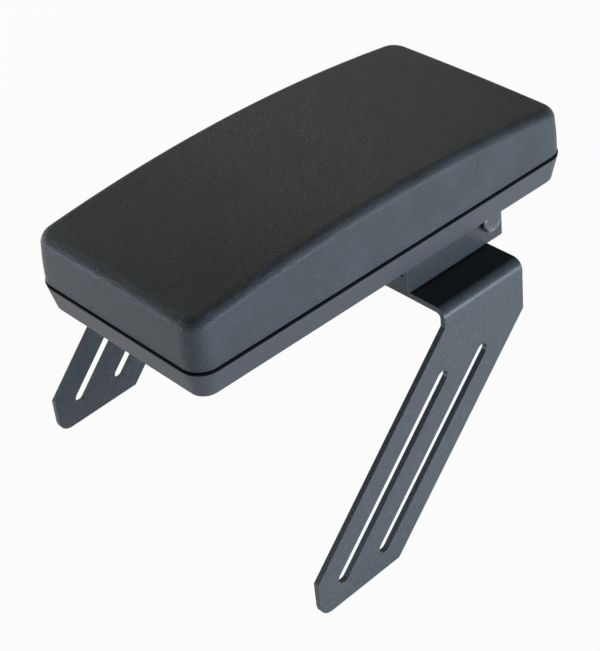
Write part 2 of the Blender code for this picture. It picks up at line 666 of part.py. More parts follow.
def base_tray(parts, cutters):
    """The moulded tray: a thin drafted shell with ribs and screw bosses inside."""
    item = tray_block("base_tray", tray_bottom, tray_top, 0, TRAY_DRAFT, parts)
    lowest = min(vert.co.z for vert in item.data.vertices) + 0.0001
    round_edges(item, TRAY_EDGE_RADIUS, lambda edge: max(vert.co.z for vert in edge.verts) < lowest, 2)
    floor = tray_bottom + TRAY_WALL
    slope = TRAY_DRAFT / TRAY_HEIGHT
    above = TRAY_HEIGHT
    hollow = tray_block("tray_hollow", floor, tray_top + above, TRAY_WALL - above * slope,
                        (tray_top + above - floor) * slope, cutters)
    cut(item, hollow)
    reach_x = PAD_WIDTH / 2 - TRAY_DRAFT - TRAY_WALL / 2
    reach_y = PAD_LENGTH / 2 - TRAY_DRAFT - TRAY_WALL / 2
    for name, y in (("front", -PAD_LENGTH / 4), ("middle", -PAD_LENGTH / 12)):
        rib_low = (PAD_OFFSET_X - reach_x, y - TRAY_RIB_WIDTH / 2, floor - TRAY_WALL / 2)
        rib_high = (PAD_OFFSET_X + reach_x, y + TRAY_RIB_WIDTH / 2, boss_top)
        cut(item, block("rib_" + name, rib_low, rib_high, cutters), "UNION")
    cut(item, block("rib_spine", (PAD_OFFSET_X - TRAY_RIB_WIDTH / 2, -reach_y, floor - TRAY_WALL / 2),
                    (PAD_OFFSET_X + TRAY_RIB_WIDTH / 2, reach_y, boss_top), cutters), "UNION")
    boss = TRAY_SCREW_HEAD_RADIUS + BOLT_CLEARANCE + TRAY_BOSS_WALL
    for number, x, y in tray_screw_places():
        cut(item, rod_cutter("tray_boss_%d" % number, boss, (x, y, floor - TRAY_WALL / 2), (x, y, boss_top),
                             cutters, SMALL_STEPS), "UNION")
    for number, x, y in tray_screw_places():
        cut(item, rod_cutter("tray_bore_%d" % number, TRAY_SCREW_RADIUS + BOLT_CLEARANCE,
                             (x, y, tray_bottom - TRAY_WALL), (x, y, tray_top), cutters, SMALL_STEPS))
        cut(item, rod_cutter("tray_recess_%d" % number, TRAY_SCREW_HEAD_RADIUS + BOLT_CLEARANCE,
                             (x, y, tray_bottom - TRAY_WALL), (x, y, screw_seat()), cutters, SMALL_STEPS))
    collar = SCREW_RADIUS + BOLT_CLEARANCE + TRAY_BOSS_WALL
    for number, x, y in four_places(LEAF_SCREW_SPACING_X, LEAF_SCREW_SPACING_Y, PAD_OFFSET_X, plate_middle):
        cut(item, rod_cutter("leaf_boss_%d" % number, collar, (x, y, floor - TRAY_WALL / 2), (x, y, boss_top),
                             cutters, SMALL_STEPS), "UNION")
    for number, x, y in four_places(LEAF_SCREW_SPACING_X, LEAF_SCREW_SPACING_Y, PAD_OFFSET_X, plate_middle):
        cut(item, rod_cutter("tray_leaf_hole_%d" % number, screw_hole, (x, y, tray_bottom - TRAY_WALL),
                             (x, y, tray_top), cutters, SMALL_STEPS))
    give_material(item, "tray_plastic")
    return smooth(item, 30)


def screw_seat():
    """Height of the step in a tray boss that a tray screw's head pulls against."""
    return tray_bottom + TRAY_WALL + TRAY_SCREW_HEAD_HEIGHT


def tray_screws(parts):
    """Screws recessed in the tray's floor that bite into the board."""
    pieces = []
    high = screw_seat() - SEAT_GAP
    low = high - TRAY_SCREW_HEAD_HEIGHT
    tip = board_top - SEAT_GAP
    for number, x, y in tray_screw_places():
        item = turned("tray_screw_%d" % number, [
            (0, tip - SEAT_GAP),
            (TRAY_SCREW_RADIUS * 0.5, tip - SEAT_GAP),
            (TRAY_SCREW_RADIUS, tip - SEAT_GAP - TRAY_SCREW_RADIUS),
            (TRAY_SCREW_RADIUS, high),
            (TRAY_SCREW_HEAD_RADIUS, high),
            (TRAY_SCREW_HEAD_RADIUS * 0.8, low),
            (0, low)], parts, (x, y, 0), (0, 0, 0), SMALL_STEPS)
        give_material(item, "zinc")
        pieces.append(smooth(item, 40))
    return pieces


def insert_board(parts, cutters):
    """The stiff board that the cushion is moulded on, dropped into the top of the tray."""
    slope = TRAY_DRAFT / TRAY_HEIGHT
    shrink = TRAY_WALL + BOARD_CLEARANCE + (tray_top - board_bottom) * slope
    item = tray_block("insert_board", board_bottom, board_top, shrink, 0, parts)
    for number, x, y in tray_screw_places():
        cut(item, rod_cutter("board_pilot_%d" % number, TRAY_SCREW_RADIUS + BOLT_CLEARANCE,
                             (x, y, board_bottom - BOARD_THICKNESS), (x, y, board_top + BOARD_THICKNESS),
                             cutters, SMALL_STEPS))
    barrel = screw_hole + TEE_NUT_WALL + BOLT_CLEARANCE
    flange_low = board_top - 2 * SEAT_GAP - TEE_NUT_FLANGE
    for number, x, y in four_places(LEAF_SCREW_SPACING_X, LEAF_SCREW_SPACING_Y, PAD_OFFSET_X, plate_middle):
        cut(item, rod_cutter("board_hole_%d" % number, barrel, (x, y, board_bottom - BOARD_THICKNESS),
                             (x, y, board_top + BOARD_THICKNESS), cutters, SMALL_STEPS))
        cut(item, rod_cutter("board_recess_%d" % number, TEE_NUT_RADIUS + BOLT_CLEARANCE, (x, y, flange_low),
                             (x, y, board_top + BOARD_THICKNESS), cutters, SMALL_STEPS))
    give_material(item, "board")
    return smooth(item, 30)


def pad_outline(shrink):
    half_x = PAD_WIDTH / 2 - shrink
    half_y = PAD_LENGTH / 2 - shrink
    radius = PAD_CORNER_RADIUS - shrink
    return rounded_outline([(half_x, -half_y, radius), (half_x, half_y, radius),
                            (-half_x, half_y, radius), (-half_x, -half_y, radius)], 6)


def joint_bead(parts, cutters):
    """The thin dark bead that fills the joint between tray and cushion and stands a little proud."""
    middle = (bead_bottom + bead_top) / 2
    item = prism("joint_bead", pad_outline(0), BEAD_THICKNESS, parts, (PAD_OFFSET_X, 0, middle))
    cut(item, prism("bead_opening", pad_outline(BEAD_WIDTH), 3 * BEAD_THICKNESS, cutters,
                    (PAD_OFFSET_X, 0, middle)))
    give_material(item, "rubber")
    return smooth(item, 30)


def cushion(parts):
    """The soft top: a block crowned along its length and slightly across, with round corners and edges."""
    half_x = PAD_WIDTH / 2 - BEAD_PROUD
    half_y = PAD_LENGTH / 2 - BEAD_PROUD
    item = block("cushion", (PAD_OFFSET_X - half_x, -half_y, cushion_bottom),
                 (PAD_OFFSET_X + half_x, half_y, cushion_bottom + CUSHION_END_HEIGHT), parts)
    round_edges(item, PAD_CORNER_RADIUS - BEAD_PROUD, upright, 6)
    work = bmesh.new()
    work.from_mesh(item.data)
    strips = 12
    inner_y = half_y - PAD_CORNER_RADIUS
    for k in range(1, strips):
        y = -inner_y + 2 * inner_y * k / strips
        bmesh.ops.bisect_plane(work, geom=work.verts[:] + work.edges[:] + work.faces[:], dist=0.000001,
                               plane_co=(0, y, 0), plane_no=(0, 1, 0))
    inner_x = half_x - PAD_CORNER_RADIUS
    for k in range(5):
        x = PAD_OFFSET_X - inner_x + 2 * inner_x * k / 4
        bmesh.ops.bisect_plane(work, geom=work.verts[:] + work.edges[:] + work.faces[:], dist=0.000001,
                               plane_co=(x, 0, 0), plane_no=(1, 0, 0))
    for vert in work.verts:
        if vert.co.z > cushion_bottom + CUSHION_END_HEIGHT / 2:
            along = (vert.co.y + CUSHION_CROWN_SHIFT) / half_y
            across = (vert.co.x - PAD_OFFSET_X) / half_x
            vert.co.z += CUSHION_CROWN * (1 - along ** 2) + CUSHION_DOME * (1 - across ** 2)
            vert.co.x = PAD_OFFSET_X + (vert.co.x - PAD_OFFSET_X) * (1 - CUSHION_DRAFT / half_x)
            vert.co.y *= 1 - CUSHION_DRAFT / half_y
    rim = [edge for edge in work.edges if len(edge.link_faces) == 2
           and edge.calc_face_angle() > math.radians(50)
           and min(vert.co.z for vert in edge.verts) > cushion_bottom + CUSHION_END_HEIGHT / 2]
    bmesh.ops.bevel(work, geom=rim, offset=CUSHION_EDGE_RADIUS, segments=4, profile=0.5, affect="EDGES",
                    clamp_overlap=True)
    work.to_mesh(item.data)
    work.free()
    give_material(item, "cushion_skin")
    return smooth(item, 50)


def make_armrest():
    empty_scene()
    parts = new_collection("flip_up_armrest")
    cutters = new_collection("cutters")
    bracket = leg_bracket(parts, cutters)
    fixed = [hinge_base(parts, cutters)]
    fixed += base_fasteners(parts, cutters)
    fixed += stop_buffers(parts)
    pivot = bpy.data.objects.new("pad_pivot", None)
    parts.objects.link(pivot)
    pivot.location = (PAD_OFFSET_X, pivot_y, pivot_z)
    moving = [hinge_leaf(parts, cutters)]
    for side, side_name in ((-1, "left"), (1, "right")):
        held, bush = pivot_hardware(side, side_name, parts, cutters)
        fixed += held
        moving.append(bush)
    moving += leaf_fasteners(parts)
    moving += [base_tray(parts, cutters), insert_board(parts, cutters)]
    moving += tray_screws(parts)
    moving += [joint_bead(parts, cutters), cushion(parts)]
    for item in fixed:
        carry(item, bracket)
    for item in moving:
        carry(item, pivot)
    carry(pivot, bracket)


make_armrest()
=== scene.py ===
import math

import bmesh
import bpy
import numpy as np
from mathutils import Matrix, Vector


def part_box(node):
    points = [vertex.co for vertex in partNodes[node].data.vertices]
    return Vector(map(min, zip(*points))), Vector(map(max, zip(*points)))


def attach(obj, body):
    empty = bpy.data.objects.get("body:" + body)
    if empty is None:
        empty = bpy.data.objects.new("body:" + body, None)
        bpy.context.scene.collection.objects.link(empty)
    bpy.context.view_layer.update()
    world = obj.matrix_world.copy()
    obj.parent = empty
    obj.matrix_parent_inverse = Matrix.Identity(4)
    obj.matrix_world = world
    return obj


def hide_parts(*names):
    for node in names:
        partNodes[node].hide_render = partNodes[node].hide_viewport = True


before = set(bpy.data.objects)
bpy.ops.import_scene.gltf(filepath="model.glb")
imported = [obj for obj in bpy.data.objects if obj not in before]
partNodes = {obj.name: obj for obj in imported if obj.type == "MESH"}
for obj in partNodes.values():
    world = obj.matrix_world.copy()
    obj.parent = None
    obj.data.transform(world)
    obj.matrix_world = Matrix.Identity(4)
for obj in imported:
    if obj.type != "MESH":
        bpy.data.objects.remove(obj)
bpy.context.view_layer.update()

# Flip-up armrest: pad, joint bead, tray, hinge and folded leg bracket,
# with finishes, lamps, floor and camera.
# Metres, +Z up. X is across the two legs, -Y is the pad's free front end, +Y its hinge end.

print("frame loaded with", len(partNodes), "nodes")


# shader building

class Wire:
    # one output socket of a node; arithmetic signs on it add Math nodes
    def __init__(self, paint, socket):
        self.paint = paint
        self.socket = socket

    def maths(self, operation, *values):
        return self.paint.node("ShaderNodeMath", {"operation": operation}, values)

    def __add__(self, other):
        return self.maths("ADD", self, other)

    def __radd__(self, other):
        return self.maths("ADD", other, self)

    def __sub__(self, other):
        return self.maths("SUBTRACT", self, other)

    def __rsub__(self, other):
        return self.maths("SUBTRACT", other, self)

    def __mul__(self, other):
        return self.maths("MULTIPLY", self, other)

    def __rmul__(self, other):
        return self.maths("MULTIPLY", other, self)

    def __truediv__(self, other):
        return self.maths("DIVIDE", self, other)

    def __pow__(self, other):
        return self.maths("POWER", self, other)

    def atLeast(self, other):
        return self.maths("MAXIMUM", self, other)

    def atMost(self, other):
        return self.maths("MINIMUM", self, other)

    def between(self, low, high):
        # 0 at low, 1 at high, with soft ends
        return self.paint.node("ShaderNodeMapRange", {"interpolation_type": "SMOOTHSTEP"},
                               {"Value": self, "From Min": low, "From Max": high})


class Paint:
    # the nodes of one new material, or of a new world
    def __init__(self, name, makers=bpy.data.materials):
        self.owner = makers.new(name)
        self.owner.use_nodes = True
        self.tree = self.owner.node_tree
        self.tree.nodes.clear()

    def node(self, kind, settings=None, values=(), output=0):
        made = self.tree.nodes.new(kind)
        for name, value in (settings or {}).items():
            setattr(made, name, value)
        pairs = values.items() if isinstance(values, dict) else enumerate(values)
        for socketName, value in pairs:
            if isinstance(value, Wire):
                self.tree.links.new(value.socket, made.inputs[socketName])
            else:
                made.inputs[socketName].default_value = value
        return Wire(self, made.outputs[output]) if len(made.outputs) else made

    def place(self):
        return self.node("ShaderNodeTexCoord", output="Object")

    def turned(self):
        return self.node("ShaderNodeUVMap", {"uv_map": "turned"})

    def stretched(self, where, scale):
        return self.node("ShaderNodeMapping", {"vector_type": "POINT"}, {"Vector": where, "Scale": scale})

    def noise(self, where, scale, detail=2.0, roughness=0.5):
        return self.node("ShaderNodeTexNoise", {}, {"Vector": where, "Scale": scale, "Detail": detail,
                                                    "Roughness": roughness})

    def noiseColour(self, where, scale):
        return self.node("ShaderNodeTexNoise", {}, {"Vector": where, "Scale": scale, "Detail": 1.0}, "Color")

    def pushed(self, where, scale, amount):
        # the same place, moved about by a soft noise, for patterns without straight lines
        drift = self.node("ShaderNodeVectorMath", {"operation": "SUBTRACT"},
                          (self.noiseColour(where, scale), (0.5, 0.5, 0.5)))
        small = self.node("ShaderNodeVectorMath", {"operation": "SCALE"}, {0: drift, "Scale": amount})
        return self.node("ShaderNodeVectorMath", {"operation": "ADD"}, (where, small))

    def cellEdge(self, where, scale):
        return self.node("ShaderNodeTexVoronoi", {"feature": "DISTANCE_TO_EDGE"},
                         {"Vector": where, "Scale": scale, "Randomness": 0.95})

    def blend(self, factor, first, second):
        return self.node("ShaderNodeMix", {"data_type": "RGBA"}, {0: factor, 6: first, 7: second}, 2)

    def bump(self, height, strength, distance, under=None):
        values = {"Height": height, "Strength": strength, "Distance": distance}
        if under is not None:
            values["Normal"] = under
        return self.node("ShaderNodeBump", {}, values)

    def attribute(self, name):
        return self.node("ShaderNodeAttribute", {"attribute_name": name}, output="Fac")

    def part(self, vector, letter):
        return self.node("ShaderNodeSeparateXYZ", {}, (vector,), letter)

    def rays(self):
        # 1 for what the camera sees directly, and 1 for what gloss and clear pieces see
        camera, glossy, through = (self.node("ShaderNodeLightPath", output=name)
                                   for name in ("Is Camera Ray", "Is Glossy Ray", "Is Transmission Ray"))
        return camera, (glossy + through).atMost(1.0)

    def finish(self, **sockets):
        shader = self.node("ShaderNodeBsdfPrincipled", {}, {name.replace("_", " "): value
                                                            for name, value in sockets.items()})
        self.node("ShaderNodeOutputMaterial", {}, {"Surface": shader})
        return self.owner


def shade(colour, amount):
    return tuple(min(1.0, channel * amount) for channel in colour[:3]) + (1.0,)


# finishes, one function each

skinLook = {"colour": (0.055, 0.060, 0.066), "roughness": 0.39, "grainSize": 0.00105, "grainDepth": 0.00022,
            "poreSize": 0.00030, "broadScale": 26.0, "specular": 0.45, "sheen": 0.04, "sheenRoughness": 0.45}


def cushionSkin():
    # moulded skin with a fine leather-like grain: pebbles parted by thin creases, the creases painted darker
    # as painted shade and the pebble tops a little lighter
    look = skinLook
    paint = Paint("cushionSkin")
    where = paint.place()
    wavy = paint.pushed(where, 0.45 / look["grainSize"], look["grainSize"] * 0.9)
    edge = paint.cellEdge(wavy, 1 / look["grainSize"])
    pebble = edge.between(0.0, 0.22)
    small = paint.noise(where, 1 / look["poreSize"], 2.0, 0.6)
    broad = paint.noise(where, look["broadScale"], 3.0, 0.55)
    height = pebble * 0.8 + small * 0.2
    # painted shade: the creases of the grain are darkened to 0.45 of the colour, the pebbles lifted to 1.16
    base = paint.blend(pebble, shade(look["colour"], 0.45), shade(look["colour"], 1.16))
    colour = paint.blend(broad.between(0.35, 0.70), base, shade(look["colour"], 1.10))
    rough = look["roughness"] + (broad - 0.5) * 0.12 + (1 - pebble) * 0.10
    normal = paint.bump(height, 0.75, look["grainDepth"], paint.bump(broad, 0.10, 0.0003))
    return paint.finish(Base_Color=colour, Roughness=rough, Normal=normal,
                        Specular_IOR_Level=look["specular"], Sheen_Weight=look["sheen"],
                        Sheen_Roughness=look["sheenRoughness"])


trayLook = {"colour": (0.067, 0.070, 0.077), "roughness": 0.46, "sparkSize": 0.00070, "sparkDepth": 0.00012,
            "flowScale": 34.0, "flowStretch": (1.0, 0.25, 2.0)}


def trayPlastic():
    # moulded plastic with an even eroded texture and faint flow marks; the texture's peaks are lightened as
    # painted glints
    look = trayLook
    paint = Paint("trayPlastic")
    where = paint.place()
    spark = paint.noise(where, 1 / look["sparkSize"], 3.0, 0.65)
    flow = paint.noise(paint.stretched(where, look["flowStretch"]), look["flowScale"], 3.0, 0.6)
    colour = paint.blend(flow.between(0.35, 0.7), shade(look["colour"], 0.94), shade(look["colour"], 1.06))
    # painted glints: the peaks of the eroded texture are lifted to 1.5 times the colour
    paintedGlints = paint.blend(spark.between(0.62, 0.75), colour, shade(look["colour"], 1.5))
    rough = look["roughness"] + (flow - 0.5) * 0.10 + (spark - 0.5) * 0.08
    normal = paint.bump(spark, 0.6, look["sparkDepth"])
    return paint.finish(Base_Color=paintedGlints, Roughness=rough, Normal=normal)


coatLook = {"colour": (0.076, 0.080, 0.086), "roughness": 0.40, "peelSize": 0.0013, "peelDepth": 0.00022,
            "sparkleScale": 2300.0, "broadScale": 18.0, "wear": 0.35, "wearScale": 240.0,
            "worn": (0.20, 0.20, 0.205, 1.0)}


def powderCoat(name="powderCoat", shadeFactor=1.0):
    # satin powder coat: orange peel with painted shade in its dips, fine sparkle as painted glints, a little
    # paler where edges are thin
    # shadeFactor darkens the whole coat; the hinge sheets' copy at 0.62 is painted shade for the hinge under
    # the pad
    look = dict(coatLook, colour=shade(coatLook["colour"], shadeFactor)[:3])
    paint = Paint(name)
    where = paint.place()
    peel = paint.noise(where, 1 / look["peelSize"], 1.5, 0.4)
    fine = paint.noise(where, look["sparkleScale"], 2.0, 0.6)
    broad = paint.noise(where, look["broadScale"], 3.0, 0.55)
    rubbed = paint.noise(where, look["wearScale"], 4.0, 0.65).between(0.42, 0.62)
    worn = paint.attribute("thinEdge") * rubbed * look["wear"]
    colour = paint.blend(broad.between(0.3, 0.7), shade(look["colour"], 0.93), shade(look["colour"], 1.08))
    # painted shade: the dips of the orange peel are darkened to 0.74 of the colour
    peelDipShade = paint.blend(peel.between(0.40, 0.60), shade(look["colour"], 0.74), colour)
    # painted glints: the peaks of the fine texture are lifted to twice the colour
    paintedGlints = paint.blend(fine.between(0.54, 0.68), peelDipShade, shade(look["colour"], 2.0))
    edged = paint.blend(worn, paintedGlints, look["worn"])
    rough = look["roughness"] + (broad - 0.5) * 0.10 + (fine - 0.5) * 0.10
    normal = paint.bump(fine, 0.25, 0.00002, paint.bump(peel, 0.55, look["peelDepth"]))
    return paint.finish(Base_Color=edged, Roughness=rough, Normal=normal)


steelLook = {"colour": (0.115, 0.118, 0.124), "roughness": 0.38, "metallic": 0.65, "blotchScale": 260.0,
             "ringStretch": (3.0, 5200.0, 1.0)}


def blackSteel():
    # blackened steel with the rings that a lathe leaves
    look = steelLook
    paint = Paint("blackSteel")
    where = paint.place()
    rings = paint.noise(paint.stretched(paint.turned(), look["ringStretch"]), 1.0, 2.0, 0.6)
    blotch = paint.noise(where, look["blotchScale"], 3.0, 0.6)
    colour = paint.blend(blotch.between(0.35, 0.75), shade(look["colour"], 0.8), shade(look["colour"], 1.5))
    rough = look["roughness"] + (blotch - 0.5) * 0.22 + (rings - 0.5) * 0.12
    normal = paint.bump(rings, 0.35, 0.00003)
    return paint.finish(Base_Color=colour, Metallic=look["metallic"], Roughness=rough, Normal=normal)


zincLook = {"cool": (0.50, 0.53, 0.58, 1.0), "warm": (0.62, 0.60, 0.54, 1.0), "roughness": 0.34,
            "cloudScale": 170.0, "fineScale": 2400.0}


def zincPlate():
    # bright zinc plate with faint passivation tints
    look = zincLook
    paint = Paint("zincPlate")
    where = paint.place()
    cloud = paint.noise(where, look["cloudScale"], 3.0, 0.6)
    fine = paint.noise(where, look["fineScale"], 2.0, 0.6)
    colour = paint.blend(cloud.between(0.35, 0.7), look["cool"], look["warm"])
    rough = look["roughness"] + (cloud - 0.5) * 0.2 + (fine - 0.5) * 0.1
    normal = paint.bump(fine, 0.3, 0.00002)
    return paint.finish(Base_Color=colour, Metallic=1.0, Roughness=rough, Normal=normal)


nylonLook = {"colour": (0.62, 0.61, 0.56), "roughness": 0.48, "cloudScale": 300.0}


def nylonWhite():
    # off-white nylon, a little cloudy
    look = nylonLook
    paint = Paint("nylonWhite")
    where = paint.place()
    cloud = paint.noise(where, look["cloudScale"], 3.0, 0.6)
    colour = paint.blend(cloud.between(0.3, 0.75), shade(look["colour"], 0.9), shade(look["colour"], 1.05))
    return paint.finish(Base_Color=colour, Roughness=look["roughness"] + (cloud - 0.5) * 0.12,
                        Normal=paint.bump(cloud, 0.2, 0.00004))


rubberLook = {"colour": (0.0035, 0.0035, 0.0040), "roughness": 0.80, "specular": 0.12, "dustScale": 420.0,
              "fineScale": 3000.0}


def softRubber():
    # matt black rubber with a breath of dust
    look = rubberLook
    paint = Paint("softRubber")
    where = paint.place()
    dust = paint.noise(where, look["dustScale"], 4.0, 0.65)
    fine = paint.noise(where, look["fineScale"], 2.0, 0.6)
    colour = paint.blend(dust.between(0.55, 0.85), shade(look["colour"], 1.0), shade(look["colour"], 2.4))
    return paint.finish(Base_Color=colour, Roughness=look["roughness"] + (dust - 0.5) * 0.2,
                        Normal=paint.bump(fine, 0.5, 0.00005), Specular_IOR_Level=look["specular"])


boardLook = {"pale": (0.46, 0.33, 0.20), "dark": (0.27, 0.17, 0.09), "roughness": 0.68,
             "plyThickness": 0.00125, "grainStretch": (260.0, 14.0, 40.0)}


def plyBoard():
    # plywood: long grain on the faces, turned plies on the edges
    look = boardLook
    paint = Paint("plyBoard")
    where = paint.place()
    grain = paint.noise(paint.stretched(where, look["grainStretch"]), 1.0, 4.0, 0.6)
    height = paint.part(where, "Z")
    ply = paint.node("ShaderNodeMath", {"operation": "SINE"}, (height * (math.pi / look["plyThickness"]),))
    mixed = (grain * 0.7 + ply * 0.15 + 0.1).between(0.2, 0.75)
    colour = paint.blend(mixed, look["dark"] + (1.0,), look["pale"] + (1.0,))
    return paint.finish(Base_Color=colour, Roughness=look["roughness"] + (grain - 0.5) * 0.15,
                        Normal=paint.bump(grain, 0.35, 0.0001))


# the hinge sheets' copy of the powder coat is darkened to 0.62 as painted shade under the pad
finishes = {"cushion_skin": cushionSkin(), "tray_plastic": trayPlastic(), "powder_coat": powderCoat(),
            "black_steel": blackSteel(), "zinc": zincPlate(), "nylon": nylonWhite(), "rubber": softRubber(),
            "board": plyBoard(), "hinge_coat_painted_shade": powderCoat("hingeCoatPaintedShade", 0.62)}
print("finishes made:", ", ".join(finishes))


# surfaces

def surface(name, grid, closedAcross=True, closedAlong=False, uv=None):
    # grid[i, j] is the point at step i along and step j across; every cell becomes one quad
    rows, columns = grid.shape[:2]
    along, across = np.meshgrid(np.arange(rows if closedAlong else rows - 1),
                                np.arange(columns if closedAcross else columns - 1), indexing="ij")
    nextRow = (along + 1) % rows
    nextColumn = (across + 1) % columns
    quads = np.stack([along * columns + across, along * columns + nextColumn,
                      nextRow * columns + nextColumn, nextRow * columns + across], axis=-1).reshape(-1, 4)
    mesh = bpy.data.meshes.new(name)
    mesh.vertices.add(rows * columns)
    mesh.vertices.foreach_set("co", grid.astype(np.float32).reshape(-1))
    mesh.loops.add(len(quads) * 4)
    mesh.loops.foreach_set("vertex_index", quads.reshape(-1).astype(np.int32))
    mesh.polygons.add(len(quads))
    mesh.polygons.foreach_set("loop_start", (np.arange(len(quads)) * 4).astype(np.int32))
    mesh.update(calc_edges=True)
    if uv is not None:
        # uv holds one (around, along) pair for each grid point, with one column more than the grid
        layer = mesh.uv_layers.new(name="turned")
        corners = np.stack([uv[along, across], uv[along, across + 1],
                            uv[along + 1, across + 1], uv[along + 1, across]], axis=2)
        layer.data.foreach_set("uv", corners.astype(np.float32).reshape(-1))
    return mesh


def closeUp(mesh, distance=0.000002):
    # merges doubles, drops what has no area and turns all faces outwards
    work = bmesh.new()
    work.from_mesh(mesh)
    bmesh.ops.remove_doubles(work, verts=work.verts, dist=distance)
    bmesh.ops.dissolve_degenerate(work, edges=work.edges, dist=distance / 4)
    bmesh.ops.recalc_face_normals(work, faces=work.faces)
    if work.calc_volume(signed=True) < 0:
        bmesh.ops.reverse_faces(work, faces=work.faces)
    work.to_mesh(mesh)
    work.free()


def settle(name, mesh, body, slotName, nodeNames, sharp=40):
    # puts a finished mesh into the scene, on its body, with its finish, instead of its nodes
    mesh.shade_smooth()
    mesh.set_sharp_from_angle(angle=math.radians(sharp))
    piece = bpy.data.objects.new(name, mesh)
    bpy.context.scene.collection.objects.link(piece)
    mesh.materials.clear()
    mesh.materials.append(finishes[slotName])
    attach(piece, body)
    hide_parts(*nodeNames)
    return piece


def middleOf(nodeName):
    low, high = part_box(nodeName)
    return (np.array(low) + np.array(high)) / 2


def sizeOf(nodeName):
    low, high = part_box(nodeName)
    return np.array(high) - np.array(low)


def roundedLoops(halfX, halfY, radius, perArc, perX, perY):
    # one closed loop for each row of the three arrays: quarter circles joined by straight sides
    halfX, halfY, radius = (np.asarray(value, float)[:, None] for value in (halfX, halfY, radius))
    parts = []
    signs = ((1, 1), (-1, 1), (-1, -1), (1, -1))
    for k, (signX, signY) in enumerate(signs):
        angle = np.radians(90 * k + np.linspace(0, 90, perArc + 1))[None, :]
        arcX = signX * (halfX - radius) + radius * np.cos(angle)
        arcY = signY * (halfY - radius) + radius * np.sin(angle)
        parts.append(np.stack([arcX, arcY], axis=-1))
        nextX, nextY = signs[(k + 1) % 4]
        end = np.radians(90 * (k + 1))
        startX = nextX * (halfX - radius) + radius * np.cos(end)
        startY = nextY * (halfY - radius) + radius * np.sin(end)
        steps = perX if k % 2 == 0 else perY
        share = np.linspace(0, 1, steps + 1)[None, 1:-1]
        parts.append(np.stack([arcX[:, -1:] * (1 - share) + startX * share,
                               arcY[:, -1:] * (1 - share) + startY * share], axis=-1))
    return np.concatenate(parts, axis=1)


# cushion

cushionShape = {"crown": 0.0102, "crownShift": 0.0063, "dome": 0.0009, "draft": 0.0012, "edgeRadius": 0.0065,
                "cornerRadius": 0.0126, "seamRadius": 0.0005, "sideSwell": 0.00035, "waviness": 0.00012}


def cushionTop(x, y, halfX, halfY, endHeight):
    # a parabola along the pad, highest a little in front of the middle, plus a flat one across it
    shape = cushionShape
    along = (y + shape["crownShift"]) / halfY
    return endHeight + shape["crown"] * (1 - along ** 2) + shape["dome"] * (1 - (x / halfX) ** 2)


def cushionPiece():
    # loops of a rounded rectangle, from the middle of the underside round the edges to the middle of the top
    shape = cushionShape
    low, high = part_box("cushion")
    centre = middleOf("cushion")
    halfX, halfY = sizeOf("cushion")[:2] / 2
    # height of the top over the underside at both ends of the middle line
    endHeight = (high[2] - low[2]) - shape["crown"] - shape["dome"]
    seam = shape["seamRadius"]
    edge = shape["edgeRadius"]
    underInset = np.linspace(halfX * 0.999, seam, 6)
    seamAngle = np.radians(np.linspace(0, 90, 6))[1:]
    wall = np.linspace(0, 1, 12)[1:]
    edgeAngle = np.radians(np.linspace(0, 90, 14))[1:]
    topInset = np.linspace(shape["draft"] + edge, halfX * 0.999, 26)[1:]
    inset = np.concatenate([underInset, seam * (1 - np.sin(seamAngle)),
                            shape["draft"] * wall - shape["sideSwell"] * np.sin(np.pi * wall),
                            shape["draft"] + edge * (1 - np.cos(edgeAngle)), topInset])
    firstTop = shape["draft"] + edge
    inside = np.clip((inset - firstTop) / (halfX - firstTop), 0, 1)
    underside = np.arange(len(inset)) < len(underInset)
    underShare = np.clip((inset - seam) / (halfX - seam), 0, 1)
    radius = np.where(underside, (shape["cornerRadius"] - seam) * (1 - underShare) + 0.00002,
                      (shape["cornerRadius"] - np.minimum(inset, firstTop)) * (1 - inside) + 0.00002)
    loops = roundedLoops(halfX - inset, halfY - inset, radius, 14, 30, 64)
    x, y = loops[..., 0], loops[..., 1]
    top = cushionTop(x, y, halfX, halfY, endHeight)
    wave = np.sin(x * 61 + 1.3) * np.sin(y * 37 + 0.4) + 0.6 * np.sin(x * 23 - y * 71)
    counts = [len(underInset), len(seamAngle), len(wall), len(edgeAngle), len(topInset)]
    starts = np.cumsum([0] + counts)
    z = np.zeros_like(top)
    z[starts[1]:starts[2]] = (seam * (1 - np.cos(seamAngle)))[:, None]
    z[starts[2]:starts[3]] = seam + wall[:, None] * (top[starts[2]:starts[3]] - edge - seam)
    z[starts[3]:starts[4]] = top[starts[3]:starts[4]] - edge * (1 - np.sin(edgeAngle))[:, None]
    z[starts[4]:] = top[starts[4]:] + shape["waviness"] * wave[starts[4]:] * inside[starts[4]:, None]
    grid = np.stack([x + centre[0], y + centre[1], z + low[2]], axis=-1)
    mesh = surface("cushion", grid)
    closeUp(mesh, 0.00008)
    piece = settle("cushionMoulded", mesh, "armrest", "cushion_skin", ["cushion"], 60)


cushionPiece()
print("cushion made")


# joint bead and tray

beadShape = {"width": 0.006, "cornerRadius": 0.0132, "noseSteps": 10}


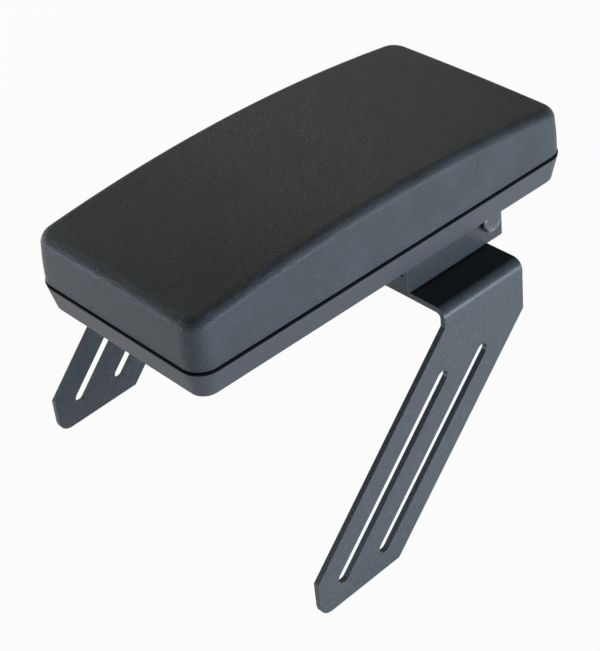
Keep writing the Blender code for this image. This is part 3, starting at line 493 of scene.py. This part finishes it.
def beadPiece():
    # a strip with a half-round nose, carried along the pad's outline
    shape = beadShape
    low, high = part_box("joint_bead")
    centre = middleOf("joint_bead")
    halfX, halfY = sizeOf("joint_bead")[:2] / 2
    half = (high[2] - low[2]) / 2
    nose = np.radians(np.linspace(-90, 90, shape["noseSteps"] + 1))
    inset = np.concatenate([half * (1 - np.cos(nose)), [shape["width"], shape["width"]]])
    height = np.concatenate([half * np.sin(nose), [half, -half]])
    loops = roundedLoops(halfX - inset, halfY - inset, shape["cornerRadius"] - inset, 14, 24, 48)
    z = np.broadcast_to(height[:, None], loops.shape[:2])
    grid = np.stack([loops[..., 0] + centre[0], loops[..., 1] + centre[1], z + centre[2]], axis=-1)
    mesh = surface("jointBead", grid, closedAlong=True)
    closeUp(mesh)
    settle("jointBeadStrip", mesh, "armrest", "rubber", ["joint_bead"], 50)


beadPiece()
print("joint bead made")


# pieces whose shape the frame already has: a merged copy gets its small edge radii

edgeShape = {"base_tray": (0.00025, "armrest", "tray_plastic", "tray_plastic"),
             "leg_bracket": (0.00028, "bracket", "powder_coat", "powder_coat"),
             "hinge_base": (0.00028, "bracket", "powder_coat", "hinge_coat_painted_shade"),
             "hinge_leaf": (0.00028, "armrest", "powder_coat", "hinge_coat_painted_shade")}


def easedCopy(nodeName):
    # the node's own mesh, merged, with every sharp edge eased; the eased strips are marked as thin edges
    width, body, slotName, finish = edgeShape[nodeName]
    mesh = partNodes[nodeName].data.copy()
    work = bmesh.new()
    work.from_mesh(mesh)
    bmesh.ops.remove_doubles(work, verts=work.verts, dist=0.000002)
    bmesh.ops.dissolve_limit(work, angle_limit=math.radians(0.6), verts=work.verts, edges=work.edges)
    mark = work.faces.layers.float.new("thinEdge")
    sharp = [edge for edge in work.edges if len(edge.link_faces) == 2
             and edge.calc_face_angle(0) > math.radians(38)]
    made = bmesh.ops.bevel(work, geom=sharp, offset=width, segments=3, profile=0.5, affect="EDGES",
                           clamp_overlap=True, harden_normals=False)
    for face in made["faces"]:
        face[mark] = 1.0
    work.to_mesh(mesh)
    work.free()
    piece = settle(nodeName + "Eased", mesh, body, slotName, [nodeName], 42)
    mesh.materials[0] = finishes[finish]
    # large faces keep their own direction, so that only the eased edges turn the light
    flat = piece.modifiers.new("flatFaces", "WEIGHTED_NORMAL")
    flat.keep_sharp = True
    flat.weight = 60


for nodeName in edgeShape:
    easedCopy(nodeName)
print("tray, bracket and hinge sheets eased")


# turned pieces

def roundedPath(points, radius, steps=4):
    # a flat polyline of (radius, along) points whose inner corners become short arcs; 0 leaves one sharp
    points = [np.array(point, float) for point in points]
    radii = radius if isinstance(radius, (list, tuple)) else [radius] * len(points)
    path = [points[0]]
    for k in range(1, len(points) - 1):
        back = points[k - 1] - points[k]
        ahead = points[k + 1] - points[k]
        backLength, aheadLength = np.linalg.norm(back), np.linalg.norm(ahead)
        back, ahead = back / backLength, ahead / aheadLength
        half = math.acos(float(np.clip(back @ ahead, -1, 1))) / 2
        if radii[k] <= 0 or half > math.radians(88):
            path.append(points[k])
            continue
        reach = min(radii[k] / math.tan(half), backLength * 0.45, aheadLength * 0.45)
        share = np.linspace(0, 1, steps + 1)[:, None]
        start, end = points[k] + back * reach, points[k] + ahead * reach
        curve = (1 - share) ** 2 * start + 2 * share * (1 - share) * points[k] + share ** 2 * end
        path.extend(curve)
    path.append(points[-1])
    return np.array(path)


def turnedMesh(name, path, centre, axis, steps=48, ring=False, radiusRule=None, heightRule=None):
    # path rows are (radius, along); each is carried round the axis, which starts at the centre
    axis = Vector(axis).normalized()
    side = axis.orthogonal().normalized()
    third = axis.cross(side)
    angle = np.linspace(0, 2 * np.pi, steps, endpoint=False)[None, :]
    radius = np.repeat(path[:, :1], steps, axis=1)
    along = np.repeat(path[:, 1:], steps, axis=1)
    if radiusRule:
        radius = radiusRule(radius, along, angle)
    if heightRule:
        along = heightRule(radius, along, angle)
    grid = (np.array(centre) + along[..., None] * np.array(axis)
            + (radius * np.cos(angle))[..., None] * np.array(side)
            + (radius * np.sin(angle))[..., None] * np.array(third))
    travelled = np.concatenate([[0], np.cumsum(np.linalg.norm(np.diff(path, axis=0), axis=1))])
    if ring:
        travelled = np.append(travelled, travelled[-1] + np.linalg.norm(path[0] - path[-1]))
    uv = np.stack(np.meshgrid(travelled, np.linspace(0, 1, steps + 1), indexing="ij")[::-1], axis=-1)
    mesh = surface(name, grid, closedAlong=ring, uv=uv)
    closeUp(mesh)
    return mesh


def hexRadius(flat, angle):
    # distance from the middle to a hexagon's side, for its distance across flats
    turned = np.mod(angle, np.pi / 3) - np.pi / 6
    return flat / 2 / np.cos(turned)


boltShape = {"headRadius": 0.0074, "headThickness": 0.0024, "shankRadius": 0.0040, "threadPitch": 0.00125,
             "threadDepth": 0.00045, "threadLength": 0.0105, "threadRow": 0.00016, "endEase": 0.0006,
             "faceDish": 0.00025, "rimInner": 0.0022, "rimOuter": 0.0012, "rimDrop": 0.0008}


def pivotBolt(sideName, outwards):
    # large flat round head with a rolled rim, plain shank, thread at the inner end
    shape = boltShape
    nodeName = "pivot_bolt_" + sideName
    low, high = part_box(nodeName)
    centre = middleOf(nodeName)
    length = high[0] - low[0]
    start = np.array([low[0] if outwards > 0 else high[0], centre[1], centre[2]])
    headLow = length - shape["headThickness"]
    threads = int(shape["threadLength"] / shape["threadRow"])
    dish = length - shape["faceDish"]
    head, shank = shape["headRadius"], shape["shankRadius"]
    path = roundedPath([(0, dish), (head - shape["rimInner"], dish), (head - shape["rimOuter"], length),
                        (head, length - shape["rimDrop"]), (head, headLow), (shank, headLow),
                        (shank, shape["threadLength"])],
                       [0, 0.0006, 0.0006, 0.0006, 0.0002, 0, 0])
    thread = np.stack([np.full(threads, shank),
                       np.linspace(shape["threadLength"], shape["endEase"], threads)], axis=1)
    end = np.array([(shank - shape["endEase"], 0.0), (0, 0.0)])

    def threaded(radius, along, angle):
        # a triangle wave that climbs one pitch with each turn, faded out at both ends of the thread
        phase = np.mod(along / shape["threadPitch"] - angle / (2 * np.pi), 1.0)
        groove = 1 - np.abs(2 * phase - 1)
        fade = np.clip((shape["threadLength"] - along) / shape["threadPitch"], 0, 1)
        here = (np.abs(radius - shank) < 1e-6) * (along > 0.0003) * fade
        return radius - shape["threadDepth"] * groove * here

    mesh = turnedMesh("pivotBolt" + sideName.title(), np.concatenate([path, thread, end]), start,
                      (outwards, 0, 0), 56, radiusRule=threaded)
    settle("pivotBolt" + sideName.title(), mesh, "bracket", "black_steel", [nodeName], 38)


washerShape = {"bore": 0.0043, "easing": 0.0002, "splitGap": 6.0, "splitRise": 0.0004}


def flatRing(nodeName, pieceName, slotName):
    # a washer along X: a square section with eased corners, turned about the pivot
    low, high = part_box(nodeName)
    centre = middleOf(nodeName)
    inner, outer = washerShape["bore"], (high[1] - low[1]) / 2
    thick = high[0] - low[0]
    path = roundedPath([(inner, thick / 2), (inner, 0), (outer, 0), (outer, thick), (inner, thick),
                        (inner, thick / 2)], washerShape["easing"], 3)[:-1]
    mesh = turnedMesh(pieceName, path, (low[0], centre[1], centre[2]), (1, 0, 0), 48, ring=True)
    settle(pieceName, mesh, "bracket", slotName, [nodeName], 40)


def springWasher(sideName):
    # a split ring: its square section climbs a little over one turn, with a gap between the ends
    shape = washerShape
    nodeName = "pivot_spring_washer_" + sideName
    low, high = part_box(nodeName)
    centre = middleOf(nodeName)
    outer = (high[1] - low[1]) / 2
    thick = (high[0] - low[0]) - shape["splitRise"]
    section = roundedPath([(shape["bore"], thick / 2), (shape["bore"], 0), (outer, 0), (outer, thick),
                           (shape["bore"], thick), (shape["bore"], thick / 2)], shape["easing"], 3)[:-1]
    rows = 49
    angle = np.radians(np.linspace(shape["splitGap"], 360 - shape["splitGap"], rows))[:, None]
    rise = np.linspace(0, shape["splitRise"], rows)[:, None]
    middle = section.mean(axis=0)
    # the first and last rows are drawn to the section's middle, which closes the two ends
    size = np.concatenate([[0.0], np.ones(rows), [0.0]])[:, None]
    angle = np.concatenate([angle[:1], angle, angle[-1:]])
    rise = np.concatenate([rise[:1], rise, rise[-1:]])
    radius = middle[0] + (section[None, :, 0] - middle[0]) * size
    along = middle[1] + (section[None, :, 1] - middle[1]) * size + rise
    grid = np.stack([low[0] + along, centre[1] + radius * np.cos(angle), centre[2] + radius * np.sin(angle)],
                    axis=-1)
    uv = np.stack(np.meshgrid(np.linspace(0, 1, grid.shape[0]), np.linspace(0, 0.01, grid.shape[1] + 1),
                              indexing="ij"), axis=-1)
    mesh = surface(nodeName, grid, uv=uv)
    closeUp(mesh)
    settle("springWasher" + sideName.title(), mesh, "bracket", "zinc", [nodeName], 40)


bushShape = {"wall": 0.0012, "flange": 0.0010, "easing": 0.0002}


def pivotBush(sideName, outwards):
    # a thin sleeve with a collar on its outer side
    nodeName = "pivot_bush_" + sideName
    low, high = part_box(nodeName)
    centre = middleOf(nodeName)
    collar = (high[1] - low[1]) / 2
    length = high[0] - low[0]
    bore, flange = washerShape["bore"], bushShape["flange"]
    outer = bore + bushShape["wall"]
    start = (low[0] if outwards > 0 else high[0], centre[1], centre[2])
    path = roundedPath([(bore, length / 2), (bore, 0), (outer, 0), (outer, length - flange),
                        (collar, length - flange), (collar, length), (bore, length), (bore, length / 2)],
                       bushShape["easing"], 3)[:-1]
    mesh = turnedMesh(nodeName, path, start, (outwards, 0, 0), 48, ring=True)
    settle("pivotBush" + sideName.title(), mesh, "armrest", "nylon", [nodeName], 40)


nutShape = {"chamfer": 0.92, "cornerDrop": 0.0007, "boreEase": 0.0006, "pivotAcross": 0.01247,
            "pivotBore": 0.0041, "baseAcross": 0.00987, "baseBore": 0.0033}


def hexNut(nodeName, pieceName, axis, acrossFlats, bore):
    # a hexagon whose corners are cut by a cone at each face, with an eased bore
    shape = nutShape
    low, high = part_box(nodeName)
    centre = middleOf(nodeName)
    axis = np.array(axis, float)
    thick = float(abs((np.array(high) - np.array(low)) @ axis))
    start = centre - axis * thick / 2
    full = acrossFlats / math.sqrt(3)
    ease, drop = shape["boreEase"], shape["cornerDrop"]
    path = np.array([(bore, thick / 2), (bore, ease), (bore + ease, 0), (full * shape["chamfer"], 0),
                     (full, drop), (full, thick / 4), (full, thick / 2), (full, thick * 3 / 4),
                     (full, thick - drop), (full * shape["chamfer"], thick), (bore + ease, thick),
                     (bore, thick - ease)])

    def sixSided(radius, along, angle):
        return np.where(radius > bore + ease * 1.5, np.minimum(radius, hexRadius(acrossFlats, angle)), radius)

    mesh = turnedMesh(nodeName, path, start, axis, 72, ring=True, radiusRule=sixSided)
    settle(pieceName, mesh, "bracket", "zinc", [nodeName], 28)


screwShape = {"headRadius": 0.0052, "headHeight": 0.0032, "socketAcross": 0.0034, "socketDepth": 0.0018,
              "socketRim": 0.0003, "domeShare": 0.86, "shankRadius": 0.0030, "threadPitch": 0.0010,
              "threadDepth": 0.00035, "threadRow": 0.00017, "endEase": 0.0005}


def capScrew(nodeName, pieceName, up, body):
    # button head with a six-sided socket, threaded shank; up is the side that the head is on
    shape = screwShape
    low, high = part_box(nodeName)
    centre = middleOf(nodeName)
    length = high[2] - low[2]
    start = (centre[0], centre[1], low[2] if up > 0 else high[2])
    headLow = length - shape["headHeight"]
    radius, socket = shape["headRadius"], shape["socketAcross"] / math.sqrt(3)
    dome = np.radians(np.linspace(90, 8, 9))
    rise, rim = shape["headHeight"] * shape["domeShare"], shape["socketRim"]
    domePath = np.stack([socket + rim + (radius - socket - rim) * np.cos(dome),
                         headLow + shape["headHeight"] - rise + rise * np.sin(dome)], axis=1)
    floorHeight = length - shape["socketDepth"]
    turns = int(headLow / shape["threadRow"])
    path = np.concatenate([[(0, floorHeight - 0.0003), (socket * 0.8, floorHeight),
                            (socket, floorHeight + 0.0002), (socket, length - 0.0003)], domePath,
                           [(radius, headLow + 0.0002), (radius - 0.0002, headLow),
                            (shape["shankRadius"], headLow)],
                           np.stack([np.full(turns, shape["shankRadius"]),
                                     np.linspace(headLow - 0.0004, shape["endEase"], turns)], axis=1),
                           [(shape["shankRadius"] - shape["endEase"], 0), (0, 0)]])

    def shaped(radius, along, angle):
        # the socket follows a hexagon, the shank a thread
        inSocket = (radius <= socket + 1e-6) * (along > floorHeight - 0.0002)
        radius = np.where(inSocket, np.minimum(radius, hexRadius(shape["socketAcross"], angle)), radius)
        phase = np.mod(along / shape["threadPitch"] - angle / (2 * np.pi), 1.0)
        groove = 1 - np.abs(2 * phase - 1)
        onShank = np.abs(radius - shape["shankRadius"]) < 1e-6
        onShank = onShank * (along < headLow - 0.001) * (along > 0.0004)
        return radius - shape["threadDepth"] * groove * onShank

    mesh = turnedMesh(nodeName, path, start, (0, 0, up), 48, radiusRule=shaped)
    settle(pieceName, mesh, body, "black_steel", [nodeName], 30)


trayScrewShape = {"headRadius": 0.0038, "shankRadius": 0.0020, "headHeight": 0.0024, "crossWidth": 0.0009,
                  "crossReach": 0.0022, "crossDepth": 0.0013, "threadPitch": 0.0014, "threadDepth": 0.0004,
                  "threadRow": 0.0002}


def trayScrew(number):
    # flat-faced head with a cross recess that looks down, coarse thread upwards
    shape = trayScrewShape
    nodeName = "tray_screw_%d" % number
    low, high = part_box(nodeName)
    centre = middleOf(nodeName)
    length = high[2] - low[2]
    head, shank, thick = shape["headRadius"], shape["shankRadius"], shape["headHeight"]
    face = np.linspace(0, head - 0.0008, 22)
    facePath = np.stack([face, np.full_like(face, length)], axis=1)
    turns = int((length - thick) / shape["threadRow"])
    path = np.concatenate([facePath, [(head - 0.0003, length - 0.0002), (head, length - 0.0007),
                                      (head, length - thick), (shank, length - thick)],
                           np.stack([np.full(turns, shank),
                                     np.linspace(length - thick - 0.0003, 0.002, turns)], axis=1),
                           [(shank * 0.5, 0.0004), (0, 0)]])

    def crossed(radius, along, angle):
        # two bars at right angles sink into the face, deepest in the middle
        x, y = radius * np.cos(angle), radius * np.sin(angle)
        bar = np.minimum(np.abs(x), np.abs(y))
        reach = np.maximum(np.abs(x), np.abs(y))
        inside = np.clip((shape["crossWidth"] / 2 - bar) / 0.00015 + 0.5, 0, 1)
        inside = inside * np.clip((shape["crossReach"] - reach) / 0.0003, 0, 1)
        onFace = along > length - 1e-6
        return along - onFace * inside * shape["crossDepth"] * (1 - 0.35 * reach / shape["crossReach"])

    def threaded(radius, along, angle):
        # wide grooves between narrow crests
        phase = np.mod(along / shape["threadPitch"] - angle / (2 * np.pi), 1.0)
        onShank = (np.abs(radius - shank) < 1e-6) * (along < length - thick - 0.0006)
        return radius - shape["threadDepth"] * np.clip(1.6 * np.abs(2 * phase - 1) - 0.2, 0, 1) * onShank

    mesh = turnedMesh(nodeName, path, (centre[0], centre[1], high[2]), (0, 0, -1), 64,
                      radiusRule=threaded, heightRule=crossed)
    settle("trayScrew%d" % number, mesh, "armrest", "zinc", [nodeName], 30)


# shares of the buffer's radius and height
bufferShape = {"top": 0.78, "neck": 0.84, "neckHeight": 0.3, "footHeight": 0.22}


def stopBuffer(sideName):
    # a tapered rubber button with a rolled top on a wider foot
    shape = bufferShape
    nodeName = "stop_buffer_" + sideName
    low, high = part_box(nodeName)
    centre = middleOf(nodeName)
    radius = (high[0] - low[0]) / 2
    height = high[2] - low[2]
    path = roundedPath([(0, height), (radius * shape["top"], height),
                        (radius * shape["neck"], height * shape["neckHeight"]),
                        (radius, height * shape["footHeight"]), (radius, 0), (0, 0)],
                       [0, 0.0015, 0.002, 0.0006, 0.0003, 0], 5)
    mesh = turnedMesh(nodeName, path, (centre[0], centre[1], low[2]), (0, 0, 1), 40)
    settle("stopBuffer" + sideName.title(), mesh, "bracket", "rubber", [nodeName], 50)


for sideName, outwards in (("left", -1), ("right", 1)):
    pivotBolt(sideName, outwards)
    flatRing("pivot_washer_outer_" + sideName, "outerWasher" + sideName.title(), "black_steel")
    flatRing("pivot_washer_inner_" + sideName, "innerWasher" + sideName.title(), "zinc")
    springWasher(sideName)
    pivotBush(sideName, outwards)
    hexNut("pivot_nut_" + sideName, "pivotNut" + sideName.title(), (outwards, 0, 0),
           nutShape["pivotAcross"], nutShape["pivotBore"])
    stopBuffer(sideName)
for number in range(1, 5):
    capScrew("base_screw_%d" % number, "baseScrew%d" % number, 1, "bracket")
    capScrew("leaf_screw_%d" % number, "leafScrew%d" % number, -1, "armrest")
    hexNut("base_nut_%d" % number, "baseNut%d" % number, (0, 0, -1), nutShape["baseAcross"],
           nutShape["baseBore"])
for number in range(1, 7):
    trayScrew(number)
print("bolts, washers, bushes, nuts, screws and buffers made")


# nodes that stay, with their finishes

for nodeName in ["insert_board"] + ["tee_nut_%d" % number for number in range(1, 5)]:
    for slot in partNodes[nodeName].material_slots:
        slot.link = "OBJECT"
        slot.material = finishes["board" if nodeName == "insert_board" else "zinc"]
print("board and tee nuts finished")


# floor, world, lamps and camera

studio = {"floorSize": 14.0, "floorColour": (0.80, 0.80, 0.80), "glowSeen": 0.96, "glowInGloss": 0.76,
          "shadeMiddle": (0.0, 0.02), "shadeReach": (0.13, 0.17), "shadeDepth": 0.8,
          "worldLevel": 0.012, "horizon": 0.20, "ceiling": 0.01,
          "lamps": {
              # azimuth, elevation, distance, height of the middle or None, width, height, power, colour
              "rightLow": (1, 0, 1.3, 0.07, 1.20, 0.13, 11.6, (0.62, 0.80, 1.0)),
              "edgeLow": (28, 0, 1.3, 0.125, 0.90, 0.06, 8.0, (0.76, 0.88, 1.0)),
              "frontLow": (-126, 0, 1.3, 0.07, 0.90, 0.12, 6.2, (0.72, 0.85, 1.0)),
              "leftLow": (-165, 0, 1.3, 0.07, 0.90, 0.12, 3.4, (0.85, 0.92, 1.0)),
              "edgeHigh": (-160, 49, 1.5, None, 0.50, 0.20, 1.3, (0.90, 0.95, 1.0)),
              "leftHigh": (180, 35, 1.6, None, 0.80, 0.60, 3.6, (0.84, 0.92, 0.90)),
              "rearHigh": (135, 35, 1.6, None, 0.80, 0.60, 3.3, (0.96, 1.0, 0.90))}}
lookAt = Vector((0.03, -0.01, 0.15))


def makeFloor():
    # pale floor: seen by the camera and in gloss it mostly glows white, and it still keeps the shadow
    grid = np.stack(np.meshgrid(np.linspace(-1, 1, 3), np.linspace(-1, 1, 3), [0.0], indexing="ij"), axis=-1)
    points = grid.reshape(3, 3, 3) * studio["floorSize"] / 2
    mesh = surface("studioFloor", np.ascontiguousarray(points), closedAcross=False)
    floor = bpy.data.objects.new("studioFloor", mesh)
    bpy.context.scene.collection.objects.link(floor)
    paint = Paint("paleFloor")
    camera, inGloss = paint.rays()
    # painted shadow: gloss sees the floor's glow darker in an ellipse under the object, between the legs,
    # where the lamps reach it least
    x, y = paint.part(paint.place(), "X"), paint.part(paint.place(), "Y")
    away = (((x - studio["shadeMiddle"][0]) / studio["shadeReach"][0]) ** 2
            + ((y - studio["shadeMiddle"][1]) / studio["shadeReach"][1]) ** 2)
    clear = 1 - (1 - away.between(0.4, 1.6)) * studio["shadeDepth"]
    share = (camera * studio["glowSeen"]).atLeast(inGloss * clear * studio["glowInGloss"])
    matt = paint.node("ShaderNodeBsdfDiffuse", {}, {"Color": studio["floorColour"] + (1.0,)})
    glow = paint.node("ShaderNodeEmission", {}, {"Color": (1.0, 1.0, 1.0, 1.0), "Strength": 1.0})
    mixed = paint.node("ShaderNodeMixShader", {}, (share, matt, glow))
    paint.node("ShaderNodeOutputMaterial", {}, {"Surface": mixed})
    mesh.materials.append(paint.owner)


def makeWorld():
    # white to the camera; gloss sees a grey horizon under a dark ceiling; a little even light for the rest
    paint = Paint("studioWorld", bpy.data.worlds)
    bpy.context.scene.world = paint.owner
    camera, inGloss = paint.rays()
    up = paint.part(paint.node("ShaderNodeTexCoord", output="Generated"), "Z")
    level = studio["horizon"] + (studio["ceiling"] - studio["horizon"]) * up.between(0.08, 0.20)
    strength = camera + inGloss * level + (1 - inGloss - camera) * studio["worldLevel"]
    shader = paint.node("ShaderNodeBackground", {}, {"Color": (1.0, 1.0, 1.0, 1.0), "Strength": strength})
    paint.node("ShaderNodeOutputWorld", {}, {"Surface": shader})


def makeLamps():
    for name, values in studio["lamps"].items():
        azimuth, elevation, distance, middle, width, height, power, colour = values
        data = bpy.data.lights.new(name, "AREA")
        data.shape = "RECTANGLE"
        data.size = width
        data.size_y = height
        data.energy = power
        data.color = colour
        lamp = bpy.data.objects.new(name, data)
        bpy.context.scene.collection.objects.link(lamp)
        turn, lift = math.radians(azimuth), math.radians(elevation)
        direction = Vector((math.cos(lift) * math.cos(turn), math.cos(lift) * math.sin(turn), math.sin(lift)))
        lamp.location = lookAt + direction * distance
        if middle is not None:
            lamp.location.z = middle
        lamp.rotation_mode = "QUATERNION"
        lamp.rotation_quaternion = (-direction).to_track_quat("-Z", "Y")


cameraFit = {"place": (0.6955, -0.5417, 0.7498), "right": (0.67942, 0.72819, -0.09016),
             "up": (-0.38811, 0.46092, 0.79807), "back": (0.62271, -0.50723, 0.59578), "lens": 108.107,
             "sensor": 36.0, "near": 0.05, "far": 20.0}


def makeCamera():
    data = bpy.data.cameras.new("photoCamera")
    data.sensor_fit = "HORIZONTAL"
    data.sensor_width = cameraFit["sensor"]
    data.lens = cameraFit["lens"]
    data.clip_start = cameraFit["near"]
    data.clip_end = cameraFit["far"]
    camera = bpy.data.objects.new("photoCamera", data)
    bpy.context.scene.collection.objects.link(camera)
    turn = Matrix((cameraFit["right"], cameraFit["up"], cameraFit["back"])).transposed().to_4x4()
    camera.matrix_world = Matrix.Translation(cameraFit["place"]) @ turn
    bpy.context.scene.camera = camera


makeFloor()
makeWorld()
makeLamps()
makeCamera()
bpy.context.scene.view_settings.view_transform = "Standard"
print("floor, world, lamps and camera made")

bpy.context.view_layer.update()
